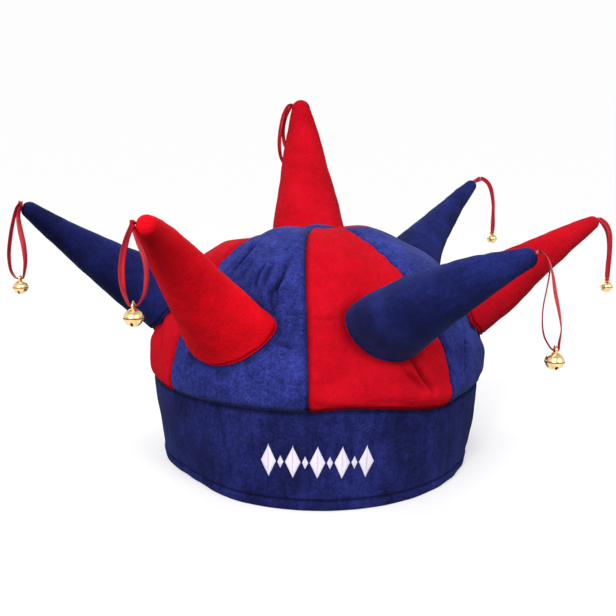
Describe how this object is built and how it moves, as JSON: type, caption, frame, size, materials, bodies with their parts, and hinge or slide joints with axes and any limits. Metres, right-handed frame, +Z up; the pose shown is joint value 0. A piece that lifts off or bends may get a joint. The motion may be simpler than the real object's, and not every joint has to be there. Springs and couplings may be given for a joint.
{
  "type": "jester hat",
  "caption": "Soft jester's cap: a round panelled crown on a deep band, with stuffed horns and a small bell on a ribbon loop at each tip.",
  "frame": {"origin": "on the surface that the rim rests on, under the middle of the bounding box of the sewn hat without its ribbons and bells", "axes": "+Z up through the crown, -Y towards the front, +X to the viewer's right as seen from the front"},
  "size_m": [0.3482, 0.3005, 0.2172],
  "materials": {
    "cloth_blue": "short-pile velour, royal blue",
    "cloth_red": "short-pile velour, bright red",
    "cloth_band": "short-pile velour, navy, brushed",
    "ribbon_red": "narrow satin ribbon, crimson",
    "bell_brass": "bright plated brass"
  },
  "bodies": {
    "root": {"band": "cloth_band", "crown_front_left": "cloth_blue", "crown_front_right": "cloth_red", "crown_right": "cloth_blue", "crown_back_right": "cloth_red", "crown_back_left": "cloth_blue", "crown_left": "cloth_red", "horn_left": "cloth_blue", "horn_front_left": "cloth_red", "horn_front_right": "cloth_blue", "horn_right": "cloth_red", "horn_back_right": "cloth_blue", "horn_back_left": "cloth_red", "ribbon_left": "ribbon_red", "ribbon_front_left": "ribbon_red", "ribbon_front_right": "ribbon_red", "ribbon_right": "ribbon_red", "ribbon_back_right": "ribbon_red", "ribbon_back_left": "ribbon_red", "bell_left": "bell_brass", "bell_front_left": "bell_brass", "bell_front_right": "bell_brass", "bell_right": "bell_brass", "bell_back_right": "bell_brass", "bell_back_left": "bell_brass"}
  },
  "joints": []
}
